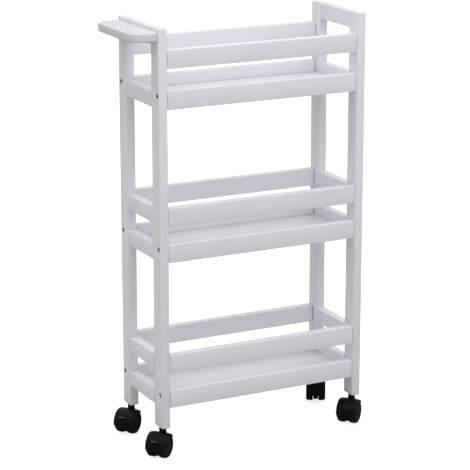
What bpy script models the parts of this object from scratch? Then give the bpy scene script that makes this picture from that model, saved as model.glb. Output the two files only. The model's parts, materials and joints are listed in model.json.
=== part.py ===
"""Slim three-tier rolling pantry cart: boarded frame, handle board and four twin-wheel casters.

Metres, +Z up, X along the cart with the handle at -X, front side at -Y. The cart is drawn
about its own middle and then moved so that the origin is at the bottom centre of its box.
"""

import math

import bmesh
import bpy
from mathutils import Matrix, Vector

# Driving dimensions
LENGTH = 0.447            # over the posts' outer faces
WIDTH = 0.185             # over the side rails' outer faces
BOARD = 0.018             # thickness of every board in the frame
POST_WIDTH = 0.034        # along Y
POST_LENGTH = 0.790
SIDE_RAIL_HEIGHT = 0.036
END_RAIL_HEIGHT = 0.031
TOP_RAIL_HEIGHT = 0.033
TIERS = {                 # rail centres above the posts' feet: lower, upper
    "bottom": (0.0588, 0.1311),
    "middle": (0.3535, 0.4258),
    "top": (0.6529, 0.7311),
}
SHELF_THICKNESS = 0.009
SHELF_TOP = 0.012         # above the lower rails' undersides
TONGUE = 0.005            # thickness of the shelf's edges, which lie in the grooves
GROOVE_DEPTH = 0.005      # in the lower side rails, for the shelf's edges
EDGE = 0.0009             # eased edges of the boards
GAP = 0.0003              # between pieces that touch

HANDLE_REACH = 0.053
HANDLE_SPAN = 0.179
HANDLE_HEIGHT = 0.017
HANDLE_DROP = 0.007       # handle's top below the posts' tops
HANDLE_CORNER = 0.028
HANDLE_EASE = 0.0034      # rounded edges of the handle

BOLT_RISE = 0.009         # bolts above the lower rails' centres
BOLT_RADIUS = 0.0026
BOLT_HEAD_RADIUS = 0.0045
BOLT_HEAD_HEIGHT = 0.0030
BOLT_LENGTH = 0.045       # under the head
BOLT_RECESS = 0.0045      # counterbore depth
BOLT_SOCKET_RADIUS = 0.0022
BOLT_SOCKET_DEPTH = 0.0018
RUNNING_GAP = 0.0003      # radial gap of pins in holes
CUT_PHASE = 0.37          # of a facet: keeps the holes' corners off the other pieces' corners

CASTER_HEIGHT = 0.058     # floor to the posts' feet
TRAIL = 0.0155            # stem axis to wheel axis
WHEEL_RADIUS = 0.024
CASTER_WIDTH = 0.041
WEB_WIDTH = 0.0106        # hood's wall between the wheels
HOOD_RADIUS = 0.0261
POCKET_RADIUS = 0.0246
WEB_FOOT_RADIUS = 0.0180  # that wall's lower edge, about the wheel axis
WEB_HEEL_RADIUS = 0.0222  # and its trailing edge below the hood
HOOD_FROM = -16.0         # degrees above the trailing side, about the wheel axis
HOOD_TO = 150.0
AXLE_RADIUS = 0.0020
AXLE_LENGTH = 0.030
STEM_RADIUS = 0.0040      # shank in the post
STEM_DEPTH = 0.028
PIVOT_RADIUS = 0.0030     # swivel pin in the hood
PIVOT_FOOT = 0.0365       # swivel pin's end above the floor
COLLAR_RADIUS = 0.0072
BOSS_RADIUS = 0.0082
BOSS_TOP = 0.0470
HEADINGS = {              # degrees from +X to each caster's trailing side
    "handle_front": 221.0,
    "handle_back": 219.0,
    "plain_front": 222.0,
    "plain_back": 241.0,
}
BRAKED = ("handle_front", "handle_back")

LEVER_PIVOT = (0.0130, 0.0125)      # from the wheel axis: along the trail, up
LEVER_ARM_WIDTH = 0.0060
LEVER_PEDAL_WIDTH = 0.0150
LEVER_PIN_RADIUS = 0.0012
LEVER_POCKET = ((0.0095, 0.0320), (0.0086, 0.0180))   # along the trail, up

ENDS = {"handle": -1, "plain": 1}
SIDES = {"front": -1, "back": 1}

# Worked out from the driving dimensions
POST_X = (LENGTH - BOARD) / 2
POST_Y = (WIDTH - POST_WIDTH) / 2
RAIL_Y = (WIDTH - BOARD) / 2
INNER_LENGTH = LENGTH - 2 * BOARD
INNER_WIDTH = WIDTH - 2 * BOARD
FEET = CASTER_HEIGHT


# Materials

def paint_white():
    return material("painted_white", (0.80, 0.79, 0.81), 0.45, 0.0)


def moulded_black():
    return material("moulded_black", (0.012, 0.012, 0.014), 0.42, 0.0)


def zinc_steel():
    return material("zinc_steel", (0.55, 0.55, 0.57), 0.35, 1.0)


def material(name, colour, roughness, metallic):
    found = bpy.data.materials.get(name)
    if found:
        return found
    made = bpy.data.materials.new(name)
    made.use_nodes = True
    shader = made.node_tree.nodes["Principled BSDF"]
    shader.inputs["Base Color"].default_value = (*colour, 1.0)
    shader.inputs["Roughness"].default_value = roughness
    shader.inputs["Metallic"].default_value = metallic
    return made


# Helpers

def add_object(name, mesh, parent, finish=None, place=(0, 0, 0)):
    made = bpy.data.objects.new(name, mesh)
    bpy.context.scene.collection.objects.link(made)
    made.parent = parent
    made.location = place
    if finish:
        mesh.materials.append(finish)
    return made


def add_empty(name, place, parent=None, turn=0.0):
    made = bpy.data.objects.new(name, None)
    bpy.context.scene.collection.objects.link(made)
    made.empty_display_size = 0.02
    made.parent = parent
    made.location = place
    made.rotation_euler = (0, 0, turn)
    return made


def to_mesh(name, shape):
    bmesh.ops.recalc_face_normals(shape, faces=shape.faces)
    mesh = bpy.data.meshes.new(name)
    shape.to_mesh(mesh)
    shape.free()
    return mesh


def box_mesh(name, size, ease=0.0):
    shape = bmesh.new()
    bmesh.ops.create_cube(shape, size=1.0, matrix=Matrix.Diagonal((*size, 1.0)))
    if ease:
        bmesh.ops.bevel(shape, geom=shape.edges[:], offset=ease, segments=1, affect="EDGES")
    return to_mesh(name, shape)


def lathe_mesh(name, profile, segments, axis="Z", phase=0.0):
    """Turns (radius, height) points about an axis; a radius of 0 is a single point."""
    shape = bmesh.new()
    rings = []
    for radius, height in profile:
        count = segments if radius else 1
        angles = [2 * math.pi * (k + phase) / segments for k in range(count)]
        rings.append([
            shape.verts.new((radius * math.cos(a), radius * math.sin(a), height))
            for a in angles
        ])
    for low, high in zip(rings, rings[1:]):
        for k in range(segments):
            n = (k + 1) % segments
            corners = [low[k % len(low)], low[n % len(low)], high[n % len(high)], high[k % len(high)]]
            shape.faces.new(list(dict.fromkeys(corners)))
    if axis == "Y":
        bmesh.ops.rotate(shape, verts=shape.verts, matrix=Matrix.Rotation(-math.pi / 2, 3, "X"))
    if axis == "X":
        bmesh.ops.rotate(shape, verts=shape.verts, matrix=Matrix.Rotation(math.pi / 2, 3, "Y"))
    mesh = to_mesh(name, shape)
    mesh.shade_smooth()
    mesh.set_sharp_from_angle(angle=math.radians(35))
    return mesh


def rod_mesh(name, radius, low, high, segments, axis="Z", phase=0.0):
    profile = [(0, low), (radius, low), (radius, high), (0, high)]
    return lathe_mesh(name, profile, segments, axis, phase)


def arc(centre, radius, start, end, steps):
    """Points of an arc in a plane, angles in degrees."""
    angles = [math.radians(start + (end - start) * k / steps) for k in range(steps + 1)]
    return [(centre[0] + radius * math.cos(a), centre[1] + radius * math.sin(a)) for a in angles]


def extrude_mesh(name, outline, low, high, plane="XY", ease=0.0, ease_below=1.0):
    """Extrudes a closed outline along the third axis; only rims below an X are eased."""
    shape = bmesh.new()
    if plane == "XY":
        points = [Vector((x, y, low)) for x, y in outline]
        push = Vector((0, 0, high - low))
    if plane == "XZ":
        points = [Vector((x, low, z)) for x, z in outline]
        push = Vector((0, high - low, 0))
    if plane == "YZ":
        points = [Vector((low, y, z)) for y, z in outline]
        push = Vector((high - low, 0, 0))
    face = shape.faces.new([shape.verts.new(p) for p in points])
    grown = bmesh.ops.extrude_face_region(shape, geom=[face])
    moved = [item for item in grown["geom"] if isinstance(item, bmesh.types.BMVert)]
    bmesh.ops.translate(shape, verts=moved, vec=push)
    if ease:
        rims = [e for e in shape.edges if abs((e.verts[0].co - e.verts[1].co).dot(push)) < 1e-9]
        rims = [e for e in rims if min(v.co.x for v in e.verts) < ease_below]
        bmesh.ops.bevel(shape, geom=rims, offset=ease, segments=3, profile=0.5, affect="EDGES")
    return to_mesh(name, shape)


def joined(name, pieces):
    """One mesh of several (mesh, matrix) pieces that stay clear of each other."""
    shape = bmesh.new()
    for mesh, matrix in pieces:
        first = len(shape.verts)
        shape.from_mesh(mesh)
        shape.verts.ensure_lookup_table()
        bmesh.ops.transform(shape, matrix=matrix, verts=shape.verts[first:])
    return to_mesh(name, shape)


def cutter(name, mesh, parent, place=(0, 0, 0)):
    made = add_object(name, mesh, parent, place=place)
    made.hide_render = True
    made.display_type = "WIRE"
    return made


def combine(target, other, operation):
    step = target.modifiers.new(operation.lower(), "BOOLEAN")
    step.operation = operation
    step.object = other
    step.solver = "EXACT"


# Frame

def bolt_height(tier):
    return FEET + TIERS[tier][0] + BOLT_RISE


def bolt_bore():
    """Stepped bore about X, from outside a post at -X to a bolt's end in the rail."""
    radius, recess = BOLT_RADIUS + RUNNING_GAP, BOLT_HEAD_RADIUS + 2 * GAP
    deep = BOLT_LENGTH
    profile = [(0, -0.010), (recess, -0.010), (recess, BOLT_RECESS),
               (radius, BOLT_RECESS), (radius, deep), (0, deep)]
    return lathe_mesh("cut_bolt_bore", profile, 16, "X", CUT_PHASE)


def bore_matrix(x_sign, place):
    """Puts a bore that enters towards +X at a place, on either end of the cart."""
    return Matrix.Translation(place) @ Matrix.Rotation(0.0 if x_sign < 0 else math.pi, 4, "Z")


def add_posts(root):
    """Four posts, each bored for three bolts and, from below, for a caster's stem."""
    size = (BOARD, POST_WIDTH, POST_LENGTH)
    radius, deep = STEM_RADIUS + RUNNING_GAP, STEM_DEPTH + 0.001
    stem_bore = rod_mesh("cut_stem_bore", radius, -0.01, deep, 16, "Z", CUT_PHASE)
    for end, x_sign in ENDS.items():
        for side, y_sign in SIDES.items():
            name = f"post_{end}_{side}"
            foot = Vector((x_sign * POST_X, y_sign * POST_Y, FEET))
            middle = foot + Vector((0, 0, POST_LENGTH / 2))
            post = add_object(name, box_mesh(name, size, EDGE), root, paint_white(), middle)
            bores = [(stem_bore, Matrix.Translation(foot))]
            for tier in TIERS:
                place = (x_sign * LENGTH / 2, y_sign * RAIL_Y, bolt_height(tier))
                bores.append((bolt_bore(), bore_matrix(x_sign, place)))
            combine(post, cutter(f"cut_{name}", joined(f"cut_{name}", bores), root), "DIFFERENCE")


def add_top_rails(root):
    """A rail flush with the posts' tops at each end."""
    size = (BOARD, WIDTH - 2 * POST_WIDTH - 2 * GAP, TOP_RAIL_HEIGHT)
    height = FEET + POST_LENGTH - TOP_RAIL_HEIGHT / 2
    for end, x_sign in ENDS.items():
        name = f"top_rail_{end}"
        add_object(name, box_mesh(name, size, EDGE), root, paint_white(), (x_sign * POST_X, 0, height))


def add_end_rails(root):
    """Rails across each end: two a tier, and the lower one only at the top tier."""
    size = (BOARD, WIDTH - 2 * POST_WIDTH - 2 * GAP, END_RAIL_HEIGHT)
    for end, x_sign in ENDS.items():
        for tier, (lower, upper) in TIERS.items():
            levels = {"lower": lower} if tier == "top" else {"lower": lower, "upper": upper}
            for level, height in levels.items():
                name = f"end_rail_{end}_{tier}_{level}"
                place = (x_sign * POST_X, 0, FEET + height)
                add_object(name, box_mesh(name, size, EDGE), root, paint_white(), place)


def add_side_rails(root):
    """Rails along both sides; the lower ones are grooved for the shelf and bored for the bolts."""
    size = (INNER_LENGTH - 2 * GAP, BOARD, SIDE_RAIL_HEIGHT)
    groove = (INNER_LENGTH + 0.02, 2 * GROOVE_DEPTH, TONGUE + 2 * GAP)
    tongue_drop = (SHELF_THICKNESS - TONGUE) / 2
    for side, y_sign in SIDES.items():
        for tier, (lower, upper) in TIERS.items():
            for level, height in {"lower": lower, "upper": upper}.items():
                name = f"side_rail_{side}_{tier}_{level}"
                place = (0, y_sign * RAIL_Y, FEET + height)
                rail = add_object(name, box_mesh(name, size, EDGE), root, paint_white(), place)
                if level == "upper":
                    continue
                cut = box_mesh(f"cut_{name}_groove", groove)
                at = (0, y_sign * INNER_WIDTH / 2, shelf_height(tier) - tongue_drop)
                combine(rail, cutter(cut.name, cut, root, at), "DIFFERENCE")
                bores = []
                for x_sign in ENDS.values():
                    mouth = (x_sign * LENGTH / 2, y_sign * RAIL_Y, bolt_height(tier))
                    bores.append((bolt_bore(), bore_matrix(x_sign, mouth)))
                holes = joined(f"cut_{name}_bolts", bores)
                combine(rail, cutter(holes.name, holes, root), "DIFFERENCE")


def shelf_height(tier):
    """Mid-thickness of a shelf."""
    underside = TIERS[tier][0] - SIDE_RAIL_HEIGHT / 2
    return FEET + underside + SHELF_TOP - SHELF_THICKNESS / 2


def add_shelves(root):
    """Panels that lie between the rails, with thinner edges in the rails' grooves."""
    panel, edge = INNER_WIDTH / 2 - GAP, INNER_WIDTH / 2 + GROOVE_DEPTH - GAP
    low, step, high = -SHELF_THICKNESS / 2, TONGUE - SHELF_THICKNESS / 2, SHELF_THICKNESS / 2
    outline = [(-edge, low), (edge, low), (edge, step), (panel, step),
               (panel, high), (-panel, high), (-panel, step), (-edge, step)]
    half = INNER_LENGTH / 2 - GAP
    for tier in TIERS:
        name = f"shelf_{tier}"
        mesh = extrude_mesh(name, outline, -half, half, "YZ")
        add_object(name, mesh, root, paint_white(), (0, 0, shelf_height(tier)))


def add_handle(root):
    """A board with round corners and rounded edges that stands out from the end's outer face."""
    half = HANDLE_SPAN / 2
    corner = (-HANDLE_REACH + HANDLE_CORNER, half - HANDLE_CORNER)
    bend = arc(corner, HANDLE_CORNER, 90, 180, 12)
    outline = [(-GAP, half)] + bend + [(x, -y) for x, y in reversed(bend)] + [(-GAP, -half)]
    thick = HANDLE_HEIGHT / 2
    mesh = extrude_mesh("handle", outline, -thick, thick, "XY", HANDLE_EASE, -2 * GAP)
    mesh.shade_smooth()
    mesh.set_sharp_from_angle(angle=math.radians(35))
    height = FEET + POST_LENGTH - HANDLE_DROP - thick
    add_object("handle", mesh, root, paint_white(), (-LENGTH / 2, 0, height))


def add_bolts(root):
    """Socket-head bolts through the handle end's posts into the lower side rails."""
    head, sunk = BOLT_HEAD_RADIUS, BOLT_RECESS - BOLT_HEAD_HEIGHT
    seat = BOLT_RECESS - GAP
    tip = seat + BOLT_LENGTH - 2 * BOLT_RECESS
    socket = sunk + BOLT_SOCKET_DEPTH
    profile = [(0, socket), (BOLT_SOCKET_RADIUS, socket), (BOLT_SOCKET_RADIUS, sunk), (head * 0.85, sunk),
               (head, sunk + 0.0006), (head, seat), (BOLT_RADIUS, seat), (BOLT_RADIUS, tip - 0.001),
               (BOLT_RADIUS * 0.6, tip), (0, tip)]
    for side, y_sign in SIDES.items():
        for tier in TIERS:
            name = f"bolt_{side}_{tier}"
            place = (-LENGTH / 2, y_sign * RAIL_Y, bolt_height(tier))
            add_object(name, lathe_mesh(name, profile, 12, "X"), root, zinc_steel(), place)


# Casters, each drawn about its stem: +X trails, the axle lies along Y, the floor is at Z = 0

def add_caster(root, corner):
    end, side = corner.split("_")
    place = (ENDS[end] * POST_X, SIDES[side] * POST_Y, 0)
    swivel = add_empty(f"swivel_{corner}", place, root, math.radians(HEADINGS[corner]))
    axle_at = (TRAIL, 0, WHEEL_RADIUS)
    name = f"caster_{corner}"
    add_stem(f"{name}_stem", root, place)
    hood = add_hood(f"{name}_hood", swivel, axle_at)
    half = AXLE_LENGTH / 2
    axle = rod_mesh(f"{name}_axle", AXLE_RADIUS, -half, half, 16, "Y")
    add_object(axle.name, axle, swivel, zinc_steel(), axle_at)
    for hand, turn in {"left": 0.0, "right": math.pi}.items():
        add_wheel(f"{name}_wheel_{hand}", swivel, axle_at, turn)
    if corner in BRAKED:
        add_brake(name, swivel, hood, axle_at)


def add_stem(name, parent, place):
    """Shank in the post, collar under it and swivel pin in the hood."""
    profile = [(0, PIVOT_FOOT), (PIVOT_RADIUS * 0.8, PIVOT_FOOT), (PIVOT_RADIUS, PIVOT_FOOT + 0.0008),
               (PIVOT_RADIUS, BOSS_TOP + GAP), (COLLAR_RADIUS, BOSS_TOP + GAP), (COLLAR_RADIUS, FEET - GAP),
               (STEM_RADIUS, FEET - GAP), (STEM_RADIUS, FEET + STEM_DEPTH - 0.001),
               (STEM_RADIUS * 0.7, FEET + STEM_DEPTH), (0, FEET + STEM_DEPTH)]
    add_object(name, lathe_mesh(name, profile, 20), parent, moulded_black(), place)


def add_hood(name, parent, axle_at):
    """Cover over both wheels, with a wall between them that holds the axle and the swivel pin."""
    start, end = HOOD_FROM, HOOD_TO
    outline = (arc((0, 0), HOOD_RADIUS, start, end, 18) + arc((0, 0), WEB_FOOT_RADIUS, end + 10, 290, 9)
               + arc((0, 0), WEB_HEEL_RADIUS, 305, 352 + start, 4))
    half = CASTER_WIDTH / 2
    hood = add_object(name, extrude_mesh(name, outline, -half, half, "XZ"), parent, moulded_black(), axle_at)
    boss = rod_mesh(f"join_{name}_boss", BOSS_RADIUS, 0.030, BOSS_TOP + 0.003, 20)
    combine(hood, cutter(boss.name, boss, parent), "UNION")
    wall, bore, out = WEB_WIDTH / 2, AXLE_RADIUS + RUNNING_GAP, CASTER_WIDTH
    room = [(0, -out), (POCKET_RADIUS, -out), (POCKET_RADIUS, -wall), (bore, -wall),
            (bore, wall), (POCKET_RADIUS, wall), (POCKET_RADIUS, out), (0, out)]
    pockets = lathe_mesh(f"cut_{name}_wheels", room, 32, "Y", CUT_PHASE)
    combine(hood, cutter(pockets.name, pockets, parent, axle_at), "DIFFERENCE")
    pin, foot, over = PIVOT_RADIUS + RUNNING_GAP, PIVOT_FOOT - 0.0005, BOSS_RADIUS + 0.0006
    hole = [(0, foot), (pin, foot), (pin, BOSS_TOP), (over, BOSS_TOP), (over, 0.07), (0, 0.07)]
    swivel_hole = lathe_mesh(f"cut_{name}_pin", hole, 20, "Z", CUT_PHASE)
    combine(hood, cutter(swivel_hole.name, swivel_hole, parent), "DIFFERENCE")
    return hood


def add_wheel(name, parent, axle_at, turn):
    """Wheel with a rounded tread, a dished face and a blind bore; drawn on the +Y side."""
    inner, outer, radius = WEB_WIDTH / 2 + 0.0007, CASTER_WIDTH / 2, WHEEL_RADIUS
    bore, blind = AXLE_RADIUS + RUNNING_GAP, AXLE_LENGTH / 2 + GAP
    profile = [(0, blind), (bore, blind), (bore, inner), (radius - 0.0012, inner), (radius, inner + 0.0012),
               (radius, outer - 0.0040), (radius - 0.0012, outer - 0.0014), (radius - 0.0036, outer),
               (radius - 0.0055, outer - 0.0010), (0.0085, outer - 0.0022), (0.0070, outer - 0.0008),
               (0.0030, outer - 0.0002), (0, outer)]
    wheel = add_object(name, lathe_mesh(name, profile, 28, "Y"), parent, moulded_black(), axle_at)
    wheel.rotation_euler = (0, 0, turn)


def add_brake(name, swivel, hood, axle_at):
    """Foot lever that snaps into a pocket in the hood's middle wall, and its pocket."""
    pivot_x, pivot_z = LEVER_PIVOT
    (low_x, high_x), (low_z, high_z) = LEVER_POCKET
    room = (high_x - low_x, LEVER_ARM_WIDTH + 2 * GAP, high_z - low_z)
    pocket = box_mesh(f"cut_{name}_lever", room)
    middle = (axle_at[0] + (low_x + high_x) / 2, 0, axle_at[2] + (low_z + high_z) / 2)
    combine(hood, cutter(pocket.name, pocket, swivel, middle), "DIFFERENCE")
    at = (axle_at[0] + pivot_x, 0, axle_at[2] + pivot_z)
    hole = rod_mesh(f"cut_{name}_pivot", LEVER_PIN_RADIUS + RUNNING_GAP, -0.01, 0.01, 12, "Y")
    combine(hood, cutter(hole.name, hole, swivel, at), "DIFFERENCE")
    arm_outline = (arc((0, 0), 0.0026, 110, 280, 6)
                   + [(0.0112, 0.0002), (0.0140, 0.0010), (0.0140, 0.0034), (0.0112, 0.0040)])
    half = LEVER_ARM_WIDTH / 2
    arm = extrude_mesh(f"{name}_brake", arm_outline, -half, half, "XZ")
    brake = add_object(arm.name, arm, swivel, moulded_black(), at)
    pedal_outline = [(0.0113, 0.0006), (0.0132, 0.0009), (0.0154, 0.0028), (0.0157, 0.0038),
                     (0.0151, 0.0044), (0.0127, 0.0037), (0.0113, 0.0035)]
    wide = LEVER_PEDAL_WIDTH / 2
    pedal = extrude_mesh(f"join_{name}_pedal", pedal_outline, -wide, wide, "XZ")
    combine(brake, cutter(pedal.name, pedal, swivel, at), "UNION")
    pin = rod_mesh(f"join_{name}_pin", LEVER_PIN_RADIUS, -WEB_WIDTH / 2 + GAP, WEB_WIDTH / 2 - GAP, 12, "Y")
    combine(brake, cutter(pin.name, pin, swivel, at), "UNION")


def stand_on_origin(root):
    """Moves the cart so that the middle of its box's underside is at the origin."""
    bpy.context.view_layer.update()
    shown = [o for o in bpy.context.scene.objects if o.type == "MESH" and not o.hide_render]
    corners = [o.matrix_world @ v.co for o in shown for v in o.data.vertices]
    middle = [(min(c[k] for c in corners) + max(c[k] for c in corners)) / 2 for k in range(2)]
    root.location = (-middle[0], -middle[1], 0)
    bpy.context.view_layer.update()


def main():
    for found in list(bpy.data.objects):
        bpy.data.objects.remove(found, do_unlink=True)
    root = add_empty("cart", (0, 0, 0))
    add_posts(root)
    add_top_rails(root)
    add_end_rails(root)
    add_side_rails(root)
    add_shelves(root)
    add_handle(root)
    add_bolts(root)
    for corner in HEADINGS:
        add_caster(root, corner)
    stand_on_origin(root)


main()
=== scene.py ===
"""Looks of the rolling pantry cart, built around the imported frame."""

import json
import math

import bmesh
import bpy
from mathutils import Matrix, Vector


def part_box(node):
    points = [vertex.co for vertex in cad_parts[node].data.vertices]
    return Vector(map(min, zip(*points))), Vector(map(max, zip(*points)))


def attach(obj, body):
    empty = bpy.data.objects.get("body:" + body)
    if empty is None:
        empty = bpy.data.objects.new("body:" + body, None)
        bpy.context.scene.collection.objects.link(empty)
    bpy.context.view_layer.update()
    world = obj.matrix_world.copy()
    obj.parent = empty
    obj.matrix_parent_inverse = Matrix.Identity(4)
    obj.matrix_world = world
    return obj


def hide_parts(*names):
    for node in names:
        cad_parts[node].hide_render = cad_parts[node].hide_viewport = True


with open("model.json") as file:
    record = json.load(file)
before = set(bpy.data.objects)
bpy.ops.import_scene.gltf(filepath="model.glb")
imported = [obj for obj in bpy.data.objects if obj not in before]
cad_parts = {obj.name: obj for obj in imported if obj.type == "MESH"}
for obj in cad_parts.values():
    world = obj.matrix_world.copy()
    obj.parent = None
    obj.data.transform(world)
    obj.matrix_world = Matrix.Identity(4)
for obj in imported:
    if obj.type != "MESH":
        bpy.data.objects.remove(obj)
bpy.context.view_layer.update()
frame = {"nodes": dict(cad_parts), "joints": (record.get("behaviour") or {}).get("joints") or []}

# Metres, +Z up. The handle's end is at -X and the front side at -Y.

# Camera
CAMERA_PLACE = (-1.754, -3.446, 1.460)
CAMERA_TURN = 26.95       # degrees from +Y towards +X
CAMERA_DIP = 15.22        # degrees below the horizon
CAMERA_LENS = 154.15      # mm
CAMERA_SENSOR = 36.0      # mm wide

# Stage
WALL_LIGHT = 0.32         # the world's strength at the horizon
CEILING_LIGHT = 1.40      # and overhead
BACKDROP = 1.0            # what the camera sees of the world
SOFTBOX_PLACE = (0.0, -0.95, 1.45)
SOFTBOX_AIM = (0.0, 0.0, 0.80)
SOFTBOX_SIZE = (1.2, 0.5)
SOFTBOX_POWER = 2.6       # W
FLOOR_HALF = 9.0
FLOOR_TONE = 0.44
FLOOR_GLOW = 0.80         # makes the floor read as white without lighting the cart from below

# Shading: faces that meet at less than this many degrees are shaded as one curve
FLAT_SMOOTH = 35
ROUND_SMOOTH = 40
BEND_SMOOTH = 50

# Boards
BOARD_NAMES = ("post", "top_rail", "end_rail", "side_rail", "shelf")
EDGE_RADIUS = 0.0013
EDGE_STEPS = 3
JOINT_LINE = 0.0005       # taken off each end of a rail, so that its joint shows
SHELF_TONGUE = 0.005      # thickness of a shelf's edges
SHELF_EDGE = 0.0047       # their reach into the rails
SHELF_GAP = 0.0013        # shadow gap between a shelf and its rails
SHELF_EASE = 0.0004

# Handle
HANDLE_CORNER = 0.028
HANDLE_EASE = 0.0034
HANDLE_STEPS = 20
PAINTED_SHADE_ON_HANDLE = 0.86       # of the boards' paint: painted shade, a darker copy of that paint standing in for the shade on the handle's top

# Bolts: radii, and depths inward from the post's outer face
BOLT_TIERS = ("bottom", "middle", "top")
RECESS_RADIUS = 0.0051
RECESS_DEPTH = 0.0045
RECESS_EASE = 0.0006      # of its mouth
RECESS_CLEAR = 0.004      # the cutter's reach out of the post
HEAD_RADIUS = 0.0044
HEAD_TOP = 0.0016
HEAD_SEAT = 0.0042
SOCKET_RADIUS = 0.0021
SOCKET_FLOOR = 0.0034
SHANK_RADIUS = 0.0025
SHANK_TIP = 0.0018
SHANK_TAPER = 0.030
SHANK_END = 0.0405
BOLT_EASE = 0.0004

# Casters: the stem stands at the origin, the axle TRAIL behind it along +X
WHEEL_RADIUS = 0.024
TRAIL = 0.0155
HOOD_RADIUS = 0.0261
HOOD_WALL = 0.0015
HOOD_SIDE = 0.0204        # half width
HOOD_CURL = 0.0013        # how far its sides curl in
HOOD_FROM = math.radians(-16)
HOOD_TO = math.radians(150)
HOOD_PINCH = 0.10         # part of the sweep over which each end narrows, and by how much of the width
WEB_HALF = 0.0053         # half of the space between the wheels
WEB_CLEAR = 0.0002        # from that space to the middle wall
WEB_FOOT = 0.0180         # radius of the middle wall's lower edge, about the wheel axis
WEB_HEEL = 0.0222         # and of its trailing edge
WEB_FOOT_FROM = HOOD_TO + math.radians(10)
WEB_FOOT_TO = HOOD_FROM + math.radians(352)
WEB_HEEL_FROM = 0.70      # part of the lower edge's sweep where the heel starts to rise
WEB_HEEL_RISE = 0.10      # and how much of the sweep it takes
WEB_EASE = 0.0005
WHEEL_CLEAR = 0.0007      # from the space between the wheels to each wheel
WHEEL_FACE = 0.0205       # a wheel's outer face
BORE_RADIUS = 0.0024
BORE_END = 0.0157
WHEEL_EASE = 0.0011
BOSS_TOP = 0.0470
BOSS_EASE = 0.0008
LEVER_ROOM = ((0.0095, 0.0320), (0.0092, 0.0172))   # the lever's pocket: along the trail, up
LEVER_ROOM_HALF = 0.0033
ARM_HALF = 0.0029
PEDAL_HALF = 0.0073
PEDAL_FROM = 0.0110       # where the lever widens, from its pivot
PEDAL_TIP = 0.0140        # where its rounded end starts
PEDAL_BOW = 0.0010        # how far the corners of that end fall back

# Points around a turned or curved piece
ROUND_STEPS = 3
RECESS_SEGMENTS = 40
BOLT_SEGMENTS = 48
BOSS_SEGMENTS = 48
WHEEL_SEGMENTS = 80
HOOD_AROUND = 44
HOOD_ACROSS = 28
WEB_STEPS = 24
PEDAL_STEPS = 16

# Colours, in linear light
PAINT_DARK = (0.815, 0.798, 0.855, 1)
PAINT_LIGHT = (0.880, 0.862, 0.918, 1)
PAINT_WORN = (0.660, 0.645, 0.680, 1)
PANEL_DARK = (0.885, 0.883, 0.898, 1)
PANEL_LIGHT = (0.905, 0.903, 0.915, 1)
HOOD_DUST = (0.20, 0.19, 0.18, 1)
TYRE_DARK = (0.0022, 0.0022, 0.0024, 1)
TYRE_LIGHT = (0.0050, 0.0050, 0.0052, 1)
TYRE_DUST = (0.16, 0.15, 0.14, 1)
BLACK_TONE = 0.0020
# Painted highlight: the pedal's black is lighter than the hood's, so the pedal reads as a light line.
LEVER_HIGHLIGHT_TONE = 0.030
BOLT_DARK = (0.055, 0.055, 0.060, 1)
BOLT_LIGHT = (0.105, 0.105, 0.112, 1)
AXLE_DARK = (0.50, 0.50, 0.52, 1)
AXLE_LIGHT = (0.62, 0.62, 0.64, 1)

# Gloss
PAINT_IOR = 1.46
PANEL_IOR = 1.47
BLACK_SPECULAR = 0.11
LEVER_SPECULAR = 0.5
BLACK_ROUGHNESS = (0.26, 0.42)
LEVER_ROUGHNESS = (0.14, 0.24)
TYRE_ROUGHNESS = (0.46, 0.66)
BOLT_ROUGHNESS = (0.31, 0.47)
AXLE_ROUGHNESS = (0.23, 0.39)

# Materials' make-up
PAINT_VARIANTS = 3        # for each direction of board
BRUSH_STRETCH = 0.035     # of the brush lines' noise, along the board
WEAR_DEPTH = 0.35
SCUFF_DEPTH = 0.12
DUST_DEPTH = 0.03

nodes = frame["nodes"]
joints = {joint["name"]: joint for joint in frame["joints"]}


# Mesh helpers

def linked(name, data):
    thing = bpy.data.objects.new(name, data)
    bpy.context.scene.collection.objects.link(thing)
    return thing


def smooth(mesh, angle):
    mesh.shade_smooth()
    mesh.set_sharp_from_angle(angle=math.radians(angle))


def finished(name, shape, finish, angle=FLAT_SMOOTH):
    bmesh.ops.recalc_face_normals(shape, faces=shape.faces)
    mesh = bpy.data.meshes.new(name)
    shape.to_mesh(mesh)
    shape.free()
    smooth(mesh, angle)
    mesh.materials.append(finish)
    return linked(name, mesh)


def place(shape, matrix):
    bmesh.ops.transform(shape, matrix=matrix, verts=shape.verts)


def mark_edges(piece, is_edge):
    """Stores 1 on the faces of eased edges, for the paint's wear."""
    layer = piece.data.attributes.new("edge", "FLOAT", "FACE")
    for face in piece.data.polygons:
        layer.data[face.index].value = 1.0 if is_edge(face.normal) else 0.0


def lathe(profile, segments):
    """Turns (radius, height) points about Z; a radius of 0 is a single point."""
    shape = bmesh.new()
    rings = []
    for radius, height in profile:
        count = segments if radius else 1
        angles = [2 * math.pi * k / segments for k in range(count)]
        rings.append([shape.verts.new((radius * math.cos(a), radius * math.sin(a), height)) for a in angles])
    for low, high in zip(rings, rings[1:]):
        for k in range(segments):
            n = (k + 1) % segments
            corners = [low[k % len(low)], low[n % len(low)], high[n % len(high)], high[k % len(high)]]
            shape.faces.new(list(dict.fromkeys(corners)))
    return shape


def rounded(points, radius):
    """An open (radius, height) profile with its inner corners rounded."""
    done = [points[0]]
    for before, corner, after in zip(points, points[1:], points[2:]):
        b, c, a = Vector(before), Vector(corner), Vector(after)
        cut = min(radius, (b - c).length * 0.45, (a - c).length * 0.45)
        start = c + (b - c).normalized() * cut
        end = c + (a - c).normalized() * cut
        for k in range(ROUND_STEPS + 1):
            t = k / ROUND_STEPS
            done.append(tuple(start * (1 - t) ** 2 + c * 2 * t * (1 - t) + end * t ** 2))
    done.append(points[-1])
    return done


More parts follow.
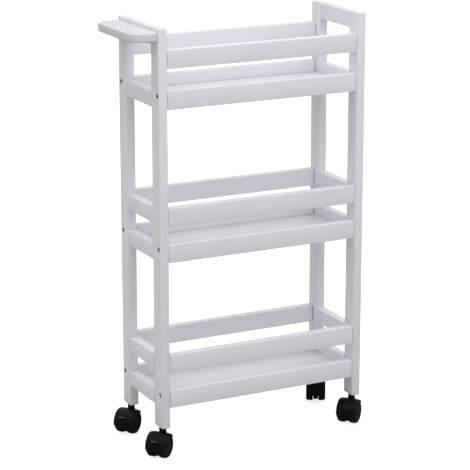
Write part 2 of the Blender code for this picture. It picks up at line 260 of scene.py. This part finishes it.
def extruded(outline, sweep):
    """A closed flat outline of points, swept into a solid."""
    shape = bmesh.new()
    face = shape.faces.new([shape.verts.new(point) for point in outline])
    grown = bmesh.ops.extrude_face_region(shape, geom=[face])
    moved = [v for v in grown["geom"] if isinstance(v, bmesh.types.BMVert)]
    bmesh.ops.translate(shape, verts=moved, vec=sweep)
    return shape


def block(low, high, at=Matrix.Identity(4)):
    shape = bmesh.new()
    middle = Matrix.Translation((low + high) / 2)
    size = Matrix.Diagonal((*(high - low), 1.0))
    bmesh.ops.create_cube(shape, size=1.0, matrix=at @ middle @ size)
    return shape


def ease(shape, edges, radius, steps):
    bmesh.ops.bevel(shape, geom=edges, offset=radius, segments=steps, profile=0.5, affect="EDGES")


def cut_with(piece, tools):
    """Takes the tools out of a piece for good."""
    for tool in tools:
        step = piece.modifiers.new("cut", "BOOLEAN")
        step.operation = "DIFFERENCE"
        step.object = tool
        step.solver = "EXACT"
    graph = bpy.context.evaluated_depsgraph_get()
    mesh = bpy.data.meshes.new_from_object(piece.evaluated_get(graph))
    piece.modifiers.clear()
    piece.data = mesh
    for tool in tools:
        bpy.data.objects.remove(tool)
    smooth(mesh, FLAT_SMOOTH)


# Materials

class Nodes:
    """Short calls for building one material's nodes."""

    def __init__(self, name):
        self.material = bpy.data.materials.new(name)
        self.material.use_nodes = True
        self.tree = self.material.node_tree
        self.shader = self.tree.nodes["Principled BSDF"]

    def add(self, kind, **settings):
        node = self.tree.nodes.new(kind)
        for key, value in settings.items():
            setattr(node, key, value)
        return node

    def put(self, node, socket, value):
        """Links a socket as the value, or sets it."""
        target = node.inputs[socket]
        if isinstance(value, bpy.types.NodeSocket):
            self.tree.links.new(value, target)
        else:
            target.default_value = value

    def finish(self, colour, roughness, normal):
        self.put(self.shader, "Base Color", colour)
        self.put(self.shader, "Roughness", roughness)
        self.put(self.shader, "Normal", normal)
        return self.material

    def noise(self, scale, detail=3.0, rough=0.5, stretch=(1, 1, 1), offset=(0, 0, 0)):
        """Noise on the object's own coordinates."""
        coords = self.add("ShaderNodeTexCoord")
        mapping = self.add("ShaderNodeMapping")
        self.put(mapping, "Vector", coords.outputs["Object"])
        self.put(mapping, "Scale", stretch)
        self.put(mapping, "Location", offset)
        node = self.add("ShaderNodeTexNoise")
        self.put(node, "Vector", mapping.outputs["Vector"])
        self.put(node, "Scale", scale)
        self.put(node, "Detail", detail)
        self.put(node, "Roughness", rough)
        return node.outputs["Fac"]

    def ramp(self, factor, low, high, low_value=0.0, high_value=1.0):
        node = self.add("ShaderNodeMapRange")
        self.put(node, "Value", factor)
        self.put(node, "From Min", low)
        self.put(node, "From Max", high)
        self.put(node, "To Min", low_value)
        self.put(node, "To Max", high_value)
        return node.outputs["Result"]

    def spread(self, noise, low_value=0.0, high_value=1.0):
        """Ramps the range that noise mostly fills."""
        return self.ramp(noise, 0.3, 0.7, low_value, high_value)

    def math(self, operation, first, second):
        node = self.add("ShaderNodeMath", operation=operation)
        self.put(node, 0, first)
        self.put(node, 1, second)
        return node.outputs[0]

    def mix(self, factor, first, second):
        """Mixes two colours; 6 and 7 are the node's colour sockets."""
        node = self.add("ShaderNodeMix", data_type="RGBA")
        self.put(node, 0, factor)
        self.put(node, 6, first)
        self.put(node, 7, second)
        return node.outputs[2]

    def bump(self, height, distance, strength, normal=None):
        node = self.add("ShaderNodeBump")
        self.put(node, "Height", height)
        self.put(node, "Distance", distance)
        self.put(node, "Strength", strength)
        if normal:
            self.put(node, "Normal", normal)
        return node.outputs["Normal"]


def toned(colour, shade):
    return (*(shade * v for v in colour[:3]), 1)


def variant_shift(k):
    """Moves the noise, so that neighbouring boards don't repeat."""
    return (1.3 * k + 0.2, 2.1 * k, 0.7 * k)


def paint(name, along, shift, shade=1.0):
    """Satin white paint on board: brush lines along the board, fine nap, smudged gloss and worn edges. A
    shade below 1 darkens all of it as painted shade.
    """
    n = Nodes(name)
    stretch = [1.0, 1.0, 1.0]
    stretch["XYZ".index(along)] = BRUSH_STRETCH
    grain = n.noise(420, 4.0, 0.62, stretch, shift)
    fibres = n.noise(1500, 2.0, 0.5, stretch, shift)
    nap = n.noise(2600, 2.0, 0.55)
    cloud = n.noise(9, 3.0, 0.5, offset=shift)
    smudge = n.noise(34, 4.0, 0.6, offset=shift)
    tone = n.math("ADD", n.spread(cloud, -0.4, 0.4), n.ramp(grain, 0.25, 0.75, -0.6, 0.6))
    # A shade below 1 darkens both colours of the same paint: painted shade, not a different paint.
    body = n.mix(n.ramp(tone, -1.0, 1.0), toned(PAINT_DARK, shade), toned(PAINT_LIGHT, shade))
    edge = n.add("ShaderNodeAttribute", attribute_name="edge")
    chips = n.ramp(n.noise(700, 3.0, 0.65, offset=shift), 0.58, 0.68)
    wear = n.math("MULTIPLY", edge.outputs["Fac"], chips)
    colour = n.mix(n.math("MULTIPLY", wear, WEAR_DEPTH), body, PAINT_WORN)
    gloss = n.math("ADD", n.spread(smudge, 0.36, 0.50), n.spread(grain, -0.03, 0.03))
    lines = n.bump(grain, 0.00010, 0.55)
    lines = n.bump(fibres, 0.00003, 0.45, lines)
    n.put(n.shader, "IOR", PAINT_IOR)
    return n.finish(colour, gloss, n.bump(nap, 0.00002, 0.5, lines))


def panel_paint(name):
    """Smoother faced panel of the shelves, with faint scuffs."""
    n = Nodes(name)
    scuff = n.ramp(n.noise(60, 6.0, 0.7, (0.12, 1, 1)), 0.60, 0.72)
    body = n.mix(n.spread(n.noise(11)), PANEL_DARK, PANEL_LIGHT)
    colour = n.mix(n.math("MULTIPLY", scuff, SCUFF_DEPTH), body, PAINT_WORN)
    gloss = n.spread(n.noise(45, 4.0, 0.6), 0.30, 0.44)
    n.put(n.shader, "IOR", PANEL_IOR)
    return n.finish(colour, gloss, n.bump(n.noise(900, 2.0), 0.00003, 0.5))


def moulded(name, tone, roughness, specular):
    """Black moulded nylon: fine spark-eroded texture, handling shine and dust."""
    n = Nodes(name)
    flow = n.noise(70, 3.0, 0.5, (1, 1, 0.3))
    dust = n.ramp(n.noise(160, 5.0, 0.7), 0.58, 0.78)
    body = n.mix(n.spread(flow), (tone, tone, tone * 1.08, 1), (tone * 2.0, tone * 2.0, tone * 2.1, 1))
    colour = n.mix(n.math("MULTIPLY", dust, DUST_DEPTH), body, HOOD_DUST)
    gloss = n.spread(n.noise(120, 4.0, 0.6), *roughness)
    n.put(n.shader, "Specular IOR Level", specular)
    return n.finish(colour, gloss, n.bump(n.noise(2400, 3.0, 0.6), 0.00004, 0.55))


def tread_rubber(name):
    """Wheel tyre: duller than the hood, with fine grit and floor dust."""
    n = Nodes(name)
    dust = n.ramp(n.noise(300, 6.0, 0.7), 0.50, 0.75)
    body = n.mix(n.spread(n.noise(90)), TYRE_DARK, TYRE_LIGHT)
    colour = n.mix(n.math("MULTIPLY", dust, DUST_DEPTH), body, TYRE_DUST)
    gloss = n.spread(n.noise(200, 4.0, 0.6), *TYRE_ROUGHNESS)
    n.put(n.shader, "Specular IOR Level", BLACK_SPECULAR)
    return n.finish(colour, gloss, n.bump(n.noise(1900, 3.0, 0.6), 0.00005, 0.6))


def steel(name, dark, light, roughness):
    """Turned steel: fine streaks, with a little tarnish."""
    n = Nodes(name)
    streak = n.noise(900, 3.0, 0.6, (0.2, 1, 1))
    colour = n.mix(n.spread(n.noise(260, 4.0, 0.6)), dark, light)
    n.put(n.shader, "Metallic", 1.0)
    return n.finish(colour, n.spread(streak, *roughness), n.bump(streak, 0.00003, 0.5))


def floor_paint(name):
    """Pale floor that glows for the camera only."""
    n = Nodes(name)
    dark, light = toned((1, 1, 1), FLOOR_TONE), toned((1, 1, 1), FLOOR_TONE * 1.01)
    n.put(n.shader, "Base Color", n.mix(n.noise(3.0, 2.0), dark, light))
    n.put(n.shader, "Roughness", 0.9)
    n.put(n.shader, "Emission Color", (1, 1, 1, 1))
    path = n.add("ShaderNodeLightPath")
    n.put(n.shader, "Emission Strength", n.math("MULTIPLY", path.outputs["Is Camera Ray"], FLOOR_GLOW))
    return n.material


PAINTS = {axis: [paint(f"paint_{axis.lower()}_{k}", axis, variant_shift(k)) for k in range(PAINT_VARIANTS)]
          for axis in "XYZ"}
# The handle's paint is a darker copy of the boards' paint: painted shade for the shade on its top.
HANDLE_FINISH_WITH_PAINTED_SHADE = paint("paint_handle_painted_shade", "Y", variant_shift(1), PAINTED_SHADE_ON_HANDLE)
PANEL = panel_paint("panel_paint")
BLACK = moulded("moulded_black", BLACK_TONE, BLACK_ROUGHNESS, BLACK_SPECULAR)
# A lighter copy of the moulded black, as a painted highlight on the pedal; its higher gloss is real.
PEDAL_FINISH_WITH_PAINTED_HIGHLIGHT = moulded("pedal_black_painted_highlight", LEVER_HIGHLIGHT_TONE, LEVER_ROUGHNESS, LEVER_SPECULAR)
TYRE = tread_rubber("tread_rubber")
DARK_STEEL = steel("dark_steel", BOLT_DARK, BOLT_LIGHT, BOLT_ROUGHNESS)
BRIGHT_STEEL = steel("bright_steel", AXLE_DARK, AXLE_LIGHT, AXLE_ROUGHNESS)


# Boards

def long_axis(low, high):
    size = high - low
    return max(range(3), key=lambda k: size[k])


def board_shape(low, high):
    shape = block(low, high)
    ease(shape, shape.edges[:], EDGE_RADIUS, EDGE_STEPS)
    return shape


def shelf_shape(low, high):
    """A panel with a shadow gap along each rail, over thinner edges that enter the grooves."""
    middle, edge = (low.y + high.y) / 2, (high.y - low.y) / 2
    panel, step = edge - SHELF_EDGE - SHELF_GAP, low.z + SHELF_TONGUE
    outline = [(-edge, low.z), (edge, low.z), (edge, step), (panel, step),
               (panel, high.z), (-panel, high.z), (-panel, step), (-edge, step)]
    shape = extruded([(low.x, middle + y, z) for y, z in outline], (high.x - low.x, 0, 0))
    ease(shape, shape.edges[:], SHELF_EASE, 2)
    return shape


def off_axis(normal):
    """True of a face that is square to no axis."""
    return max(abs(v) for v in normal) <= 0.999


def add_board(node, count):
    low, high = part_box(node)
    axis = long_axis(low, high)
    if "rail" in node:
        low[axis] += JOINT_LINE
        high[axis] -= JOINT_LINE
    if node.startswith("shelf"):
        piece = finished(f"board_{node}", shelf_shape(low, high), PANEL)
    else:
        finish = PAINTS["XYZ"[axis]][count % PAINT_VARIANTS]
        piece = finished(f"board_{node}", board_shape(low, high), finish)
    if node.startswith("post"):
        cut_with(piece, bolt_recesses(node))
    mark_edges(piece, off_axis)
    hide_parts(node)
    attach(piece, "frame")


# Bolts

def bolt_frame(side, tier, end):
    """World matrix of a bolt: the post's outer face at the origin, +Z into the post."""
    low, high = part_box(f"bolt_{side}_{tier}")
    middle = (low + high) / 2
    post_low, post_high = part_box(f"post_{end}_{side}")
    outer, inward = (post_low.x, 1) if end == "handle" else (post_high.x, -1)
    turn = Matrix.Rotation(inward * math.pi / 2, 4, "Y")
    return Matrix.Translation((outer, middle.y, middle.z)) @ turn


def bolt_recesses(post):
    """Cutters for the round recesses of a post's bolts."""
    _, end, side = post.split("_")
    mouth = RECESS_RADIUS + RECESS_EASE
    profile = [(0, -RECESS_CLEAR), (mouth, -RECESS_CLEAR), (mouth, 0.0),
               (RECESS_RADIUS, RECESS_EASE), (RECESS_RADIUS, RECESS_DEPTH), (0, RECESS_DEPTH)]
    tools = []
    for tier in BOLT_TIERS:
        shape = lathe(profile, RECESS_SEGMENTS)
        place(shape, bolt_frame(side, tier, end))
        tools.append(finished(f"recess_{post}_{tier}", shape, DARK_STEEL))
    return tools


def make_hexagonal(shape):
    """Draws the round socket in to a hexagon of the same corners."""
    for vert in shape.verts:
        radius = math.hypot(vert.co.x, vert.co.y)
        if 0 < radius <= SOCKET_RADIUS * 1.001 and vert.co.z < HEAD_SEAT:
            angle = math.atan2(vert.co.y, vert.co.x) % (math.pi / 3) - math.pi / 6
            shrink = math.cos(math.pi / 6) / math.cos(angle)
            vert.co.x *= shrink
            vert.co.y *= shrink


def add_bolt(side, tier, end):
    """Hex-socket bolt head and shank."""
    profile = [(0, SOCKET_FLOOR), (SOCKET_RADIUS * 0.98, SOCKET_FLOOR), (SOCKET_RADIUS, HEAD_TOP),
               (HEAD_RADIUS, HEAD_TOP), (HEAD_RADIUS, HEAD_SEAT), (SHANK_RADIUS, HEAD_SEAT),
               (SHANK_RADIUS, SHANK_TAPER), (SHANK_TIP, SHANK_END), (0, SHANK_END)]
    shape = lathe(rounded(profile, BOLT_EASE), BOLT_SEGMENTS)
    make_hexagonal(shape)
    place(shape, bolt_frame(side, tier, end))
    piece = finished(f"bolt_head_{end}_{side}_{tier}", shape, DARK_STEEL)
    if end == "handle":
        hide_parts(f"bolt_{side}_{tier}")
    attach(piece, "frame")


# Handle

def handle_shape(low, high):
    """A board with two round corners and rounded edges; its back lies against the end."""
    half, middle_y = (high.y - low.y) / 2, (low.y + high.y) / 2
    centre_x, centre_y = low.x + HANDLE_CORNER, half - HANDLE_CORNER
    bend = []
    for k in range(HANDLE_STEPS + 1):
        a = math.pi / 2 * (1 + k / HANDLE_STEPS)
        bend.append((centre_x + HANDLE_CORNER * math.cos(a), centre_y + HANDLE_CORNER * math.sin(a)))
    outline = [(high.x, half)] + bend + [(x, -y) for x, y in reversed(bend)] + [(high.x, -half)]
    shape = extruded([(x, middle_y + y, low.z) for x, y in outline], (0, 0, high.z - low.z))
    level = [e for e in shape.edges if abs(e.verts[0].co.z - e.verts[1].co.z) < 1e-7]
    ease(shape, [e for e in level if min(v.co.x for v in e.verts) < high.x - 1e-5], HANDLE_EASE, 6)
    return shape


def sloping(normal):
    return 0.25 < abs(normal.z) < 0.95


def add_handle():
    piece = finished("handle_board", handle_shape(*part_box("handle")), HANDLE_FINISH_WITH_PAINTED_SHADE, BEND_SMOOTH)
    mark_edges(piece, sloping)
    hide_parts("handle")
    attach(piece, "frame")


# Casters

def caster_frame(name):
    """World matrix of a caster: stem axis at the origin, +X to the trailing side, +Y along the axle."""
    spin = joints[f"{name}_spin_left"]
    stem = Vector(joints[f"{name}_swivel"]["pos_m"])
    along = Vector(spin["axis"])
    trail = along.cross(Vector((0, 0, 1)))
    turn = Matrix((trail, along, Vector((0, 0, 1)))).transposed().to_4x4()
    return Matrix.Translation(Vector((stem.x, stem.y, 0))) @ turn


def hood_point(i, j, inner):
    """Point i around and j across the cover, on its outer or inner skin."""
    a = HOOD_FROM + (HOOD_TO - HOOD_FROM) * i / HOOD_AROUND
    s = -1 + 2 * j / HOOD_ACROSS
    end = min(i, HOOD_AROUND - i) / HOOD_AROUND
    side = HOOD_SIDE * (1 - HOOD_PINCH * (1 - min(end / HOOD_PINCH, 1.0)) ** 2)
    curl = HOOD_CURL * abs(s) ** 6
    wall = HOOD_WALL - 0.9 * curl if inner else 0.0
    radius = HOOD_RADIUS - curl - wall
    return (TRAIL + radius * math.cos(a), side * s, WHEEL_RADIUS + radius * math.sin(a))


def hood_shape():
    """Domed cover over both wheels: a shell whose edges curl in and whose ends are rounded off."""
    shape = bmesh.new()
    skins = []
    for inner in (False, True):
        skins.append([[shape.verts.new(hood_point(i, j, inner)) for j in range(HOOD_ACROSS + 1)]
                      for i in range(HOOD_AROUND + 1)])
    for skin in skins:
        for i in range(HOOD_AROUND):
            for j in range(HOOD_ACROSS):
                shape.faces.new((skin[i][j], skin[i + 1][j], skin[i + 1][j + 1], skin[i][j + 1]))
    outer, inner = skins
    for j in range(HOOD_ACROSS):
        for i in (0, HOOD_AROUND):
            shape.faces.new((outer[i][j], outer[i][j + 1], inner[i][j + 1], inner[i][j]))
    for i in range(HOOD_AROUND):
        for j in (0, HOOD_ACROSS):
            shape.faces.new((outer[i][j], outer[i + 1][j], inner[i + 1][j], inner[i][j]))
    return shape


def web_shape():
    """Middle wall between the wheels, up to the cover, with a rounded foot about the axle."""
    rim = HOOD_RADIUS - HOOD_WALL / 2
    outline = []
    for k in range(WEB_STEPS + 1):
        a = HOOD_FROM + (HOOD_TO - HOOD_FROM) * k / WEB_STEPS
        outline.append((rim * math.cos(a), rim * math.sin(a)))
    for k in range(WEB_STEPS + 1):
        part = k / WEB_STEPS
        a = WEB_FOOT_FROM + (WEB_FOOT_TO - WEB_FOOT_FROM) * part
        heel = min(max((part - WEB_HEEL_FROM) / WEB_HEEL_RISE, 0.0), 1.0)
        foot = WEB_FOOT + (WEB_HEEL - WEB_FOOT) * heel
        outline.append((foot * math.cos(a), foot * math.sin(a)))
    half = WEB_HALF - WEB_CLEAR
    shape = extruded([(TRAIL + x, -half, WHEEL_RADIUS + z) for x, z in outline], (0, 2 * half, 0))
    rims = [e for e in shape.edges if abs(e.verts[0].co.y - e.verts[1].co.y) < 1e-9]
    bmesh.ops.bevel(shape, geom=rims, offset=WEB_EASE, segments=2, affect="EDGES")
    return shape


def wheel_shape():
    """Twin wheel on the +Y side: rounded tread, raised rim, dished face and hub cap."""
    inner, outer, r = WEB_HALF + WHEEL_CLEAR, WHEEL_FACE, WHEEL_RADIUS
    profile = [(BORE_RADIUS, BORE_END), (BORE_RADIUS, inner), (0.0090, inner), (0.0100, inner + 0.0008),
               (0.0190, inner + 0.0008), (0.0200, inner), (r - 0.0003, inner), (r, inner + 0.0030),
               (r, outer - 0.0052), (r - 0.0012, outer - 0.0014), (r - 0.0040, outer),
               (r - 0.0052, outer - 0.0002), (r - 0.0060, outer - 0.0014), (0.0105, outer - 0.0024),
               (0.0085, outer - 0.0022), (0.0074, outer - 0.0007), (0.0030, outer - 0.0001), (0, outer)]
    shape = lathe([(0, BORE_END)] + rounded(profile, WHEEL_EASE), WHEEL_SEGMENTS)
    place(shape, Matrix.Rotation(-math.pi / 2, 4, "X"))
    return shape


def boss_shape():
    """Raised seat of the swivel on the hood, flared into the cover."""
    profile = [(0, 0.036), (0.0046, 0.036), (0.0048, 0.0425), (0.0081, 0.0435),
               (0.0080, BOSS_TOP - 0.0006), (0.0074, BOSS_TOP), (0, BOSS_TOP)]
    return lathe(rounded(profile, BOSS_EASE), BOSS_SEGMENTS)


def lever_shape():
    """Foot lever: a short curved pedal on an arm."""
    outline = [(-0.0024, 0.0006), (0.0, 0.0026), (0.0070, 0.0034), (0.0107, 0.0037), (0.0114, 0.0037),
               (0.0130, 0.0038), (0.0145, 0.0043), (0.0153, 0.0044), (0.0157, 0.0038), (0.0152, 0.0027),
               (0.0133, 0.0011), (0.0114, 0.0006), (0.0107, 0.0003), (0.0060, -0.0008), (0.0, -0.0026),
               (-0.0022, -0.0012)]
    shape = bmesh.new()
    rings = []
    for j in range(PEDAL_STEPS + 1):
        s = -1 + 2 * j / PEDAL_STEPS
        ring = []
        for x, z in outline:
            half = ARM_HALF if x < PEDAL_FROM else PEDAL_HALF
            back = PEDAL_BOW * abs(s) ** 3 if x > PEDAL_TIP else 0.0
            ring.append(shape.verts.new((x - back, half * s, z)))
        rings.append(ring)
    for first, second in zip(rings, rings[1:]):
        for k in range(len(outline)):
            n = (k + 1) % len(outline)
            shape.faces.new((first[k], first[n], second[n], second[k]))
    shape.faces.new(rings[0])
    shape.faces.new(list(reversed(rings[-1])))
    return shape


def lever_room(name, at):
    """Cutter for the lever's pocket in the cover and the middle wall."""
    (near, far), (under, over) = LEVER_ROOM
    low = Vector((TRAIL + near, -LEVER_ROOM_HALF, WHEEL_RADIUS + under))
    high = Vector((TRAIL + far, LEVER_ROOM_HALF, WHEEL_RADIUS + over))
    return finished(f"{name}_room", block(low, high, at), BLACK)


def add_hood(name, at, braked):
    swivel = f"{name}_swivel"
    for part, build, angle in (("cover", hood_shape, ROUND_SMOOTH), ("wall", web_shape, FLAT_SMOOTH),
                               ("boss", boss_shape, FLAT_SMOOTH)):
        shape = build()
        place(shape, at)
        piece = finished(f"{name}_{part}", shape, BLACK, angle)
        if braked and part != "boss":
            cut_with(piece, [lever_room(name, at)])
        if part == "cover":
            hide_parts(f"{name}_hood")
        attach(piece, swivel)


def add_wheels(name, at):
    axle = Matrix.Translation((TRAIL, 0, WHEEL_RADIUS))
    for hand, turn in (("left", 0.0), ("right", math.pi)):
        shape = wheel_shape()
        place(shape, at @ axle @ Matrix.Rotation(turn, 4, "Z"))
        wheel = finished(f"{name}_tyre_{hand}", shape, TYRE, ROUND_SMOOTH)
        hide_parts(f"{name}_wheel_{hand}")
        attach(wheel, f"{name}_wheel_{hand}")


def add_lever(name, at):
    pivot = Vector(joints[f"{name}_lever"]["pos_m"])
    shape = lever_shape()
    place(shape, Matrix.Translation(pivot) @ at.to_3x3().to_4x4())
    lever = finished(f"{name}_pedal", shape, PEDAL_FINISH_WITH_PAINTED_HIGHLIGHT, BEND_SMOOTH)
    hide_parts(f"{name}_brake")
    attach(lever, f"{name}_brake")


def add_caster(name):
    at = caster_frame(name)
    braked = f"{name}_lever" in joints
    add_hood(name, at, braked)
    add_wheels(name, at)
    if braked:
        add_lever(name, at)


def dress_cad_nodes():
    """Materials of the CAD nodes that stay: stems and axles."""
    for name, node in nodes.items():
        for ending, finish in (("_stem", BLACK), ("_axle", BRIGHT_STEEL)):
            if name.endswith(ending):
                node.data.materials.clear()
                node.data.materials.append(finish)


# Stage

def aim(thing, ahead):
    thing.rotation_euler = ahead.to_track_quat("-Z", "Y").to_euler()


def add_floor():
    shape = bmesh.new()
    bmesh.ops.create_grid(shape, x_segments=2, y_segments=2, size=FLOOR_HALF)
    finished("floor", shape, floor_paint("pale_floor"))


def add_softbox():
    data = bpy.data.lights.new("softbox", "AREA")
    data.shape = "RECTANGLE"
    data.size, data.size_y = SOFTBOX_SIZE
    data.energy = SOFTBOX_POWER
    light = linked("softbox", data)
    light.location = SOFTBOX_PLACE
    aim(light, Vector(SOFTBOX_AIM) - Vector(SOFTBOX_PLACE))


def light_world():
    """A bright ceiling over dimmer walls, which the camera sees as an even backdrop."""
    world = bpy.data.worlds.new("studio")
    bpy.context.scene.world = world
    world.use_nodes = True
    tree = world.node_tree
    direction = tree.nodes.new("ShaderNodeTexCoord")
    split = tree.nodes.new("ShaderNodeSeparateXYZ")
    climb = tree.nodes.new("ShaderNodeMapRange")
    path = tree.nodes.new("ShaderNodeLightPath")
    seen = tree.nodes.new("ShaderNodeMix")
    background = tree.nodes["Background"]
    climb.inputs["From Min"].default_value = 0.0
    climb.inputs["From Max"].default_value = 1.0
    climb.inputs["To Min"].default_value = WALL_LIGHT
    climb.inputs["To Max"].default_value = CEILING_LIGHT
    seen.inputs["B"].default_value = BACKDROP
    background.inputs["Color"].default_value = (1, 1, 1, 1)
    tree.links.new(direction.outputs["Generated"], split.inputs["Vector"])
    tree.links.new(split.outputs["Z"], climb.inputs["Value"])
    tree.links.new(path.outputs["Is Camera Ray"], seen.inputs["Factor"])
    tree.links.new(climb.outputs["Result"], seen.inputs["A"])
    tree.links.new(seen.outputs["Result"], background.inputs["Strength"])
    bpy.context.scene.view_settings.view_transform = "Standard"


def add_camera():
    data = bpy.data.cameras.new("camera")
    data.lens = CAMERA_LENS
    data.sensor_width = CAMERA_SENSOR
    camera = linked("camera", data)
    turn, dip = math.radians(CAMERA_TURN), math.radians(CAMERA_DIP)
    camera.location = CAMERA_PLACE
    aim(camera, Vector((math.sin(turn) * math.cos(dip), math.cos(turn) * math.cos(dip), -math.sin(dip))))
    bpy.context.scene.camera = camera


def main():
    add_camera()
    light_world()
    add_softbox()
    add_floor()
    boards = [node for node in sorted(nodes) if node.startswith(BOARD_NAMES)]
    for count, node in enumerate(boards):
        add_board(node, count)
    corners = [(end, side) for end in ("handle", "plain") for side in ("front", "back")]
    for end, side in corners:
        for tier in BOLT_TIERS:
            add_bolt(side, tier, end)
    add_handle()
    for end, side in corners:
        add_caster(f"caster_{end}_{side}")
    dress_cad_nodes()


main()
